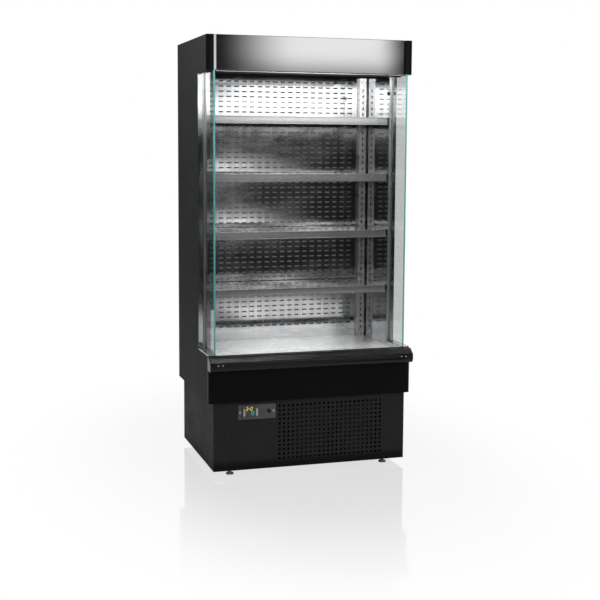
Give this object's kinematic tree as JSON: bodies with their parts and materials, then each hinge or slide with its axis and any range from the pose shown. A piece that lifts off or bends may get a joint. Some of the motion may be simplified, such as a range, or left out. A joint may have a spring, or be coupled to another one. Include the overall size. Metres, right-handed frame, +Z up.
{
  "type": "open multideck display fridge",
  "caption": "Upright open-front refrigerated display cabinet with glass end panes, tilting shelves, price rails, a lit canopy, a night blind and a perforated machine plinth.",
  "frame": {"origin": "on the floor, in the middle of the cabinet's footprint, bumper included", "axes": "+Z up, -Y towards the shopper, +X to the shopper's right"},
  "size_m": [1, 0.725, 2.04],
  "materials": {
    "powder_coat": "fine-grained black-grey powder coat on thin sheet over foam",
    "gloss_black": "high-gloss black",
    "plinth_paint": "satin black paint",
    "polished_steel": "bright-annealed stainless, near mirror",
    "zinc_steel": "zinc-plated",
    "anodised": "satin anodised",
    "black_plastic": "fine satin",
    "grey_plastic": "fine satin",
    "glass": "clear toughened, green edge",
    "lamp_white": "opal diffuser",
    "fins": "bare fins",
    "compressor_black": "gloss black lacquer",
    "blind_alloy": "satin",
    "blind_cloth": "woven reflective cloth"
  },
  "bodies": {
    "cabinet": {"side_wall_right": "powder_coat", "side_wall_left": "powder_coat", "back_wall": "powder_coat", "roof_panel": "powder_coat", "insulated_tub": "powder_coat", "front_panel": "gloss_black", "bumper_rail": "black_plastic", "bumper_end_right": "black_plastic", "bumper_end_left": "black_plastic", "glass_right": "glass", "glass_left": "glass", "glass_trim_right": "anodised", "glass_trim_left": "anodised", "canopy_fascia": "gloss_black", "canopy_end_right": "gloss_black", "canopy_end_left": "gloss_black", "canopy_lamp": "lamp_white", "air_comb": "grey_plastic", "ceiling_panel": "polished_steel", "back_panel": "polished_steel", "upright_right": "polished_steel", "upright_left": "polished_steel", "return_grille": "grey_plastic", "evaporator_coil": "fins", "evaporator_fan_plate": "zinc_steel", "evaporator_fan_motor_right": "black_plastic", "evaporator_fan_motor_left": "black_plastic", "plinth_side_right": "plinth_paint", "plinth_side_left": "plinth_paint", "base_floor": "zinc_steel", "compressor": "compressor_black", "condenser_coil": "fins", "condenser_fan_shroud": "zinc_steel", "condenser_fan_motor": "black_plastic", "electrical_box": "grey_plastic"},
    "blind_roller": {"blind_roller": "blind_cloth"},
    "blind_pull_bar": {"blind_pull_bar": "blind_alloy"},
    "shelf_1": {"shelf_1": "polished_steel", "price_rail_1": "anodised"},
    "shelf_2": {"shelf_2": "polished_steel", "price_rail_2": "anodised"},
    "shelf_3": {"shelf_3": "polished_steel", "price_rail_3": "anodised"},
    "shelf_4": {"shelf_4": "polished_steel", "price_rail_4": "anodised"},
    "deck_tray": {"deck_tray": "polished_steel"},
    "evaporator_fan_right": {"evaporator_fan_blade_right": "grey_plastic"},
    "evaporator_fan_left": {"evaporator_fan_blade_left": "grey_plastic"},
    "condenser_fan": {"condenser_fan_blade": "grey_plastic"},
    "foot_front_left": {"foot_front_left": "zinc_steel"},
    "foot_front_right": {"foot_front_right": "zinc_steel"},
    "foot_rear_left": {"foot_rear_left": "zinc_steel"},
    "foot_rear_right": {"foot_rear_right": "zinc_steel"},
    "condensate_tray": {"condensate_tray": "black_plastic"},
    "service_panel": {"service_panel": "plinth_paint", "control_plate": "grey_plastic", "temperature_controller": "grey_plastic"},
    "controller_button_left": {"controller_button_left": "grey_plastic"},
    "controller_button_right": {"controller_button_right": "grey_plastic"},
    "lamp_switch": {"lamp_switch": "black_plastic"}
  },
  "joints": [
    {"name": "blind_pull", "type": "slide", "parent": "cabinet", "child": "blind_pull_bar", "axis": [0, 0, -1], "range_m": [0, 1.3]},
    {"name": "blind_wind", "type": "hinge", "parent": "cabinet", "child": "blind_roller", "pos_m": [0, -0.2415, 1.935], "axis": [1, 0, 0], "range_deg": [0, 2870]},
    {"name": "shelf_1_tilt", "type": "hinge", "parent": "cabinet", "child": "shelf_1", "pos_m": [0, 0.1849, 1.6817], "axis": [-1, 0, 0], "range_deg": [0, 15]},
    {"name": "shelf_2_tilt", "type": "hinge", "parent": "cabinet", "child": "shelf_2", "pos_m": [0, 0.1849, 1.4063], "axis": [-1, 0, 0], "range_deg": [0, 15]},
    {"name": "shelf_3_tilt", "type": "hinge", "parent": "cabinet", "child": "shelf_3", "pos_m": [0, 0.1849, 1.1309], "axis": [-1, 0, 0], "range_deg": [0, 15]},
    {"name": "shelf_4_tilt", "type": "hinge", "parent": "cabinet", "child": "shelf_4", "pos_m": [0, 0.1849, 0.8555], "axis": [-1, 0, 0], "range_deg": [0, 15]},
    {"name": "deck_tray_lift", "type": "slide", "parent": "cabinet", "child": "deck_tray", "axis": [0, 0, 1], "range_m": [0, 0.06]},
    {"name": "evaporator_fan_right_spin", "type": "hinge", "parent": "cabinet", "child": "evaporator_fan_right", "pos_m": [0.21, -0.1472, 0.477], "axis": [0, 1, 0], "continuous": true},
    {"name": "evaporator_fan_left_spin", "type": "hinge", "parent": "cabinet", "child": "evaporator_fan_left", "pos_m": [-0.21, -0.1472, 0.477], "axis": [0, 1, 0], "continuous": true},
    {"name": "condenser_fan_spin", "type": "hinge", "parent": "cabinet", "child": "condenser_fan", "pos_m": [0.1, -0.2015, 0.1663], "axis": [0, 1, 0], "continuous": true},
    {"name": "foot_front_left_level", "type": "slide", "parent": "cabinet", "child": "foot_front_left", "axis": [0, 0, -1], "range_m": [0, 0.015]},
    {"name": "foot_front_right_level", "type": "slide", "parent": "cabinet", "child": "foot_front_right", "axis": [0, 0, -1], "range_m": [0, 0.015]},
    {"name": "foot_rear_left_level", "type": "slide", "parent": "cabinet", "child": "foot_rear_left", "axis": [0, 0, -1], "range_m": [0, 0.015]},
    {"name": "foot_rear_right_level", "type": "slide", "parent": "cabinet", "child": "foot_rear_right", "axis": [0, 0, -1], "range_m": [0, 0.015]},
    {"name": "condensate_tray_slide", "type": "slide", "parent": "cabinet", "child": "condensate_tray", "axis": [0, 1, 0], "range_m": [0, 0.2]},
    {"name": "service_panel_off", "type": "slide", "parent": "cabinet", "child": "service_panel", "axis": [0, -1, 0], "range_m": [0, 0.1]},
    {"name": "button_left_press", "type": "slide", "parent": "service_panel", "child": "controller_button_left", "axis": [0, 1, 0], "range_m": [0, 0.0008], "stiffness_N_per_m": 1200, "springref_m": -0.0005},
    {"name": "button_right_press", "type": "slide", "parent": "service_panel", "child": "controller_button_right", "axis": [0, 1, 0], "range_m": [0, 0.0008], "stiffness_N_per_m": 1200, "springref_m": -0.0005},
    {"name": "lamp_switch_rock", "type": "hinge", "parent": "service_panel", "child": "lamp_switch", "pos_m": [-0.208, -0.3148, 0.303], "axis": [-1, 0, 0], "range_deg": [0, 14]}
  ],
  "couplings": [
    {"joint": "blind_wind", "follows": "blind_pull", "rad_per_m": 38.462}
  ]
}
